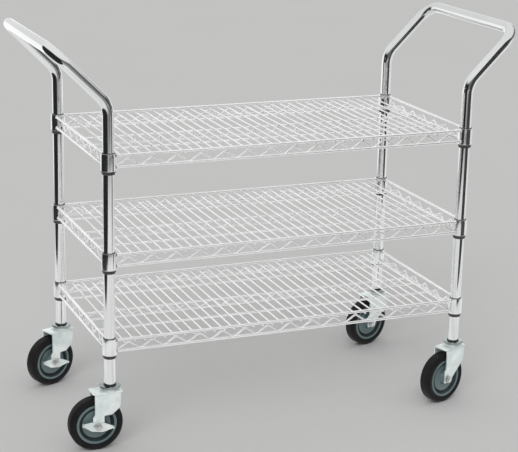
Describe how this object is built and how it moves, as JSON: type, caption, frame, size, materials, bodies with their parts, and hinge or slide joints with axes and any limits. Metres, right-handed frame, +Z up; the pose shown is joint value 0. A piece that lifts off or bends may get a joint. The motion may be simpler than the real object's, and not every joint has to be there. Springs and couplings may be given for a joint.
{
  "type": "utility cart",
  "caption": "Wire-shelf utility cart: bent-tube end frames with push handles, chrome wire shelves on tapered collars, and swivel casters with rocker side brakes at one end.",
  "frame": {"origin": "on the floor, midway between the four posts", "axes": "+X along the cart towards the end without brakes, +Y to the back, +Z up"},
  "size_m": [1.1504, 0.4952, 0.9282],
  "materials": {
    "chrome_tube": "bright chrome plate",
    "chrome_wire": "bright chrome plate",
    "chrome_collar": "bright chrome plate",
    "sleeve_plastic": "moulded black",
    "socket_plastic": "moulded black",
    "zinc_steel": "bluish zinc plate",
    "core_plastic": "moulded slate grey",
    "tyre_rubber": "matt black"
  },
  "bodies": {
    "cart": {"handle_post_left": "chrome_tube", "handle_post_right": "chrome_tube", "bottom_collars": "chrome_collar", "bottom_sleeves": "sleeve_plastic", "bottom_rim_wires": "chrome_wire", "bottom_snake_wires": "chrome_wire", "bottom_centre_rib": "chrome_wire", "bottom_deck_wires": "chrome_wire", "middle_collars": "chrome_collar", "middle_sleeves": "sleeve_plastic", "middle_rim_wires": "chrome_wire", "middle_snake_wires": "chrome_wire", "middle_centre_rib": "chrome_wire", "middle_deck_wires": "chrome_wire", "top_collars": "chrome_collar", "top_sleeves": "sleeve_plastic", "top_rim_wires": "chrome_wire", "top_snake_wires": "chrome_wire", "top_centre_rib": "chrome_wire", "top_deck_wires": "chrome_wire", "stem_sockets": "socket_plastic", "caster_stems": "zinc_steel", "swivel_washers": "sleeve_plastic"},
    "swivel_lf": {"fork_lf": "zinc_steel", "axle_bolt_lf": "zinc_steel", "axle_nut_lf": "zinc_steel", "wheel_bush_lf": "zinc_steel"},
    "wheel_lf": {"wheel_core_lf": "core_plastic", "tyre_lf": "tyre_rubber"},
    "brake_lf": {"brake_lever_lf": "zinc_steel"},
    "swivel_lb": {"fork_lb": "zinc_steel", "axle_bolt_lb": "zinc_steel", "axle_nut_lb": "zinc_steel", "wheel_bush_lb": "zinc_steel"},
    "wheel_lb": {"wheel_core_lb": "core_plastic", "tyre_lb": "tyre_rubber"},
    "brake_lb": {"brake_lever_lb": "zinc_steel"},
    "swivel_rf": {"fork_rf": "zinc_steel", "axle_bolt_rf": "zinc_steel", "axle_nut_rf": "zinc_steel", "wheel_bush_rf": "zinc_steel"},
    "wheel_rf": {"wheel_core_rf": "core_plastic", "tyre_rf": "tyre_rubber"},
    "swivel_rb": {"fork_rb": "zinc_steel", "axle_bolt_rb": "zinc_steel", "axle_nut_rb": "zinc_steel", "wheel_bush_rb": "zinc_steel"},
    "wheel_rb": {"wheel_core_rb": "core_plastic", "tyre_rb": "tyre_rubber"}
  },
  "joints": [
    {"name": "swivel_lf_turn", "type": "hinge", "parent": "cart", "child": "swivel_lf", "pos_m": [-0.4405, -0.212, 0.146], "axis": [0, 0, 1], "continuous": true},
    {"name": "wheel_lf_roll", "type": "hinge", "parent": "swivel_lf", "child": "wheel_lf", "pos_m": [-0.4755, -0.212, 0.0625], "axis": [0, 1, 0], "continuous": true},
    {"name": "brake_lf_rock", "type": "hinge", "parent": "swivel_lf", "child": "brake_lf", "pos_m": [-0.4755, -0.212, 0.0625], "axis": [0, 1, 0], "range_deg": [-16, 0]},
    {"name": "swivel_lb_turn", "type": "hinge", "parent": "cart", "child": "swivel_lb", "pos_m": [-0.4405, 0.212, 0.146], "axis": [0, 0, 1], "continuous": true},
    {"name": "wheel_lb_roll", "type": "hinge", "parent": "swivel_lb", "child": "wheel_lb", "pos_m": [-0.47339, 0.20003, 0.0625], "axis": [-0.342, 0.9397, 0], "continuous": true},
    {"name": "brake_lb_rock", "type": "hinge", "parent": "swivel_lb", "child": "brake_lb", "pos_m": [-0.47339, 0.20003, 0.0625], "axis": [-0.342, 0.9397, 0], "range_deg": [-16, 0]},
    {"name": "swivel_rf_turn", "type": "hinge", "parent": "cart", "child": "swivel_rf", "pos_m": [0.4405, -0.212, 0.146], "axis": [0, 0, 1], "continuous": true},
    {"name": "wheel_rf_roll", "type": "hinge", "parent": "swivel_rf", "child": "wheel_rf", "pos_m": [0.40721, -0.22282, 0.0625], "axis": [-0.309, 0.9511, 0], "continuous": true},
    {"name": "swivel_rb_turn", "type": "hinge", "parent": "cart", "child": "swivel_rb", "pos_m": [0.4405, 0.212, 0.146], "axis": [0, 0, 1], "continuous": true},
    {"name": "wheel_rb_roll", "type": "hinge", "parent": "swivel_rb", "child": "wheel_rb", "pos_m": [0.40686, 0.20235, 0.0625], "axis": [-0.2756, 0.9613, 0], "continuous": true}
  ]
}
